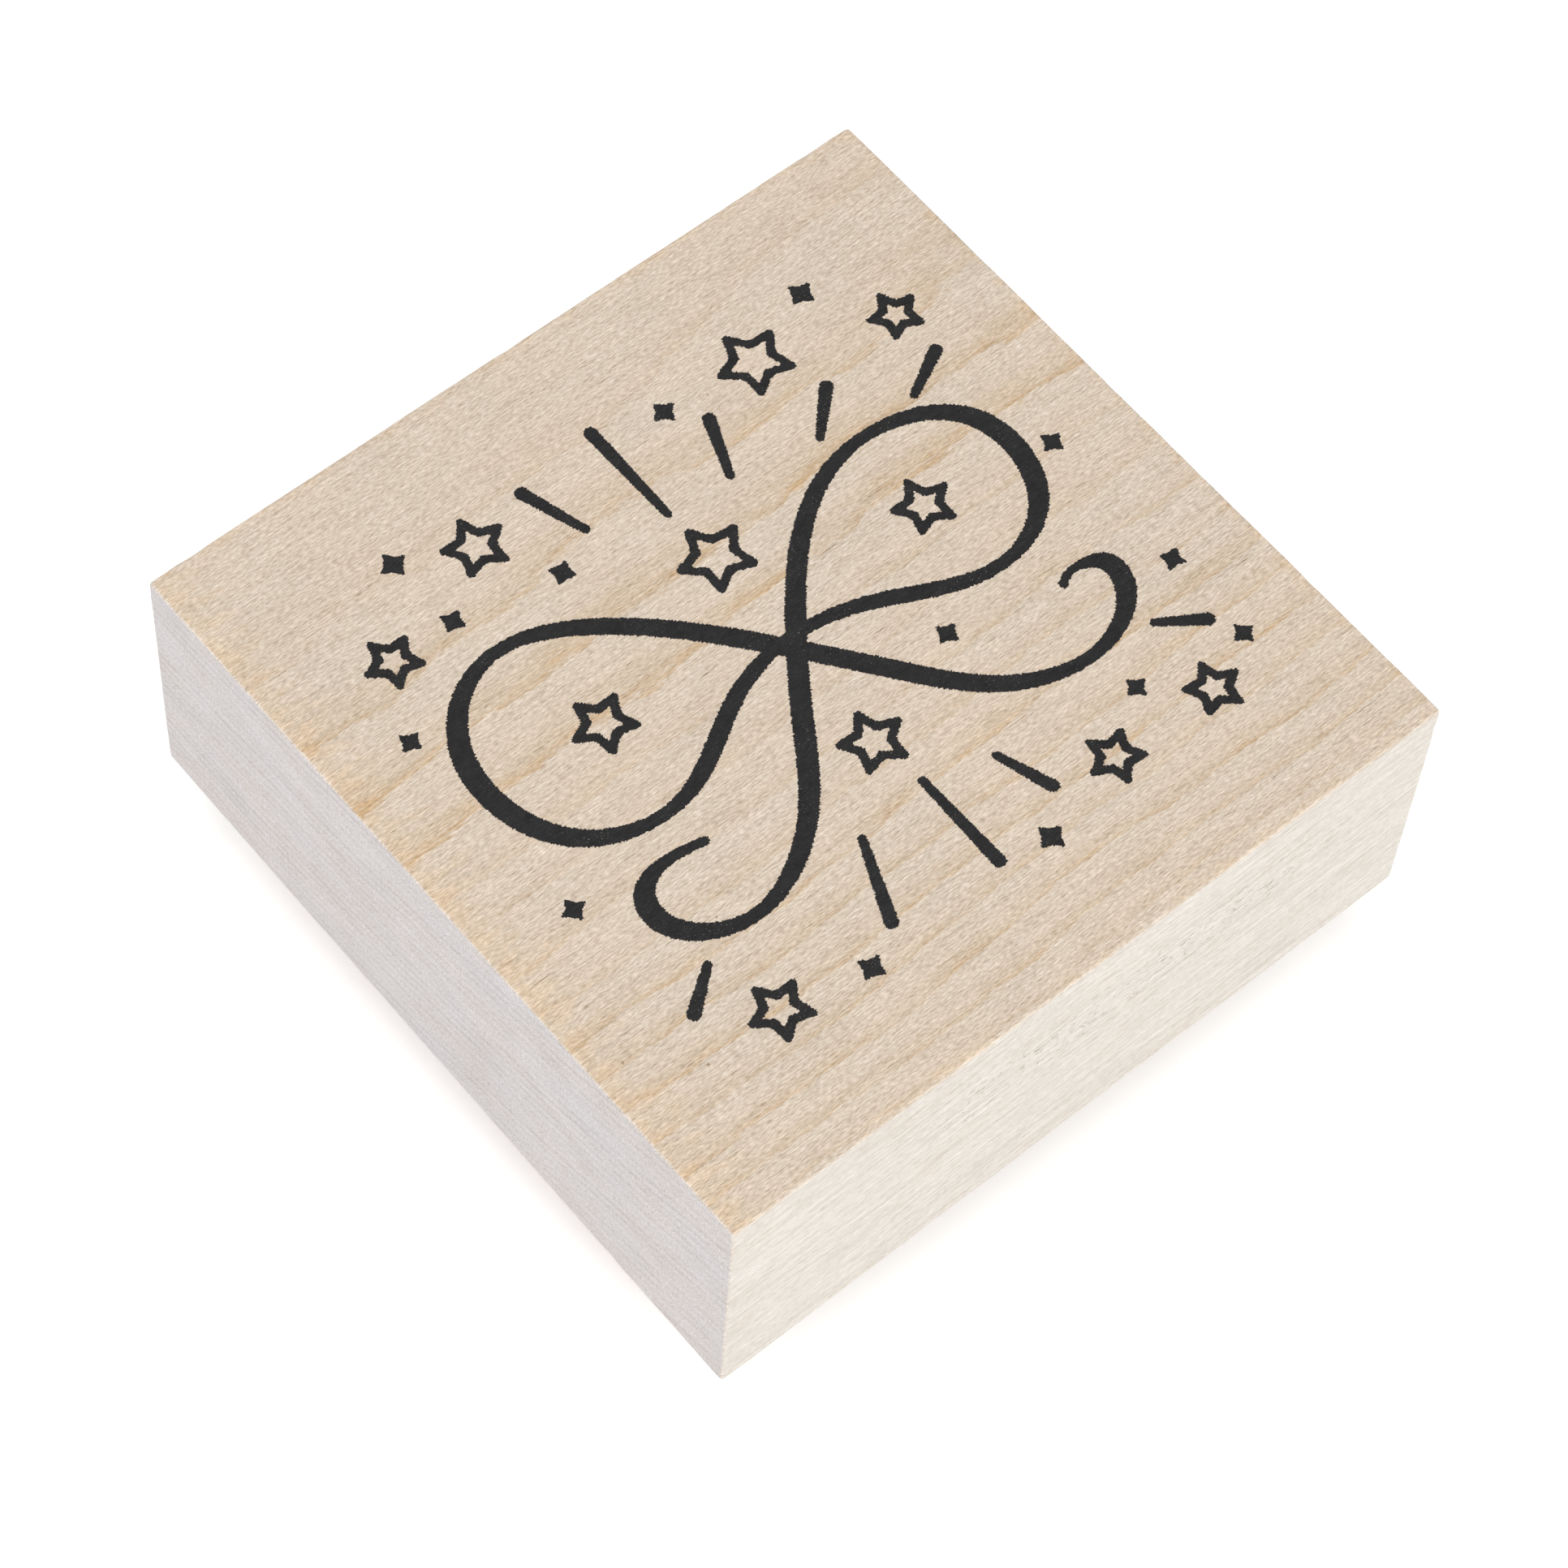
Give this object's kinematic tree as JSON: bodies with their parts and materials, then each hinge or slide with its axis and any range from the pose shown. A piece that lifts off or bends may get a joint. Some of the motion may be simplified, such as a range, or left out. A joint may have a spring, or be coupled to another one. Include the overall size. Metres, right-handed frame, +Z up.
{
  "type": "rubber stamp",
  "caption": "Square wood-mounted rubber stamp: hardwood block with a printed index picture, foam cushion and moulded rubber die.",
  "frame": {"origin": "middle of the block's footprint, on the plane of the printing face that meets the paper", "axes": "+X along the wood's grain, +Y up the index picture, +Z up from the printing face to the block's top"},
  "size_m": [0.0636, 0.0636, 0.0298],
  "materials": {
    "wood": "bare sanded maple",
    "index_ink": "matt black ink soaked into the grain",
    "adhesive": "cloudy pressure-sensitive film",
    "foam": "closed-cell foam, cut edge",
    "die_rubber": "matt vulcanised rubber"
  },
  "bodies": {
    "block": {"wood_block": "wood", "index_flourish": "index_ink", "index_stars": "index_ink", "index_sparkles": "index_ink", "index_rays": "index_ink", "block_adhesive": "adhesive", "foam_cushion": "foam"},
    "die": {"die_adhesive": "adhesive", "rubber_die": "die_rubber"}
  },
  "joints": [
    {"name": "cushion_press", "type": "slide", "parent": "block", "child": "die", "axis": [0, 0, 1], "range_m": [0, 0.0008], "stiffness_N_per_m": 60000, "deforming": ["foam_cushion"]}
  ]
}
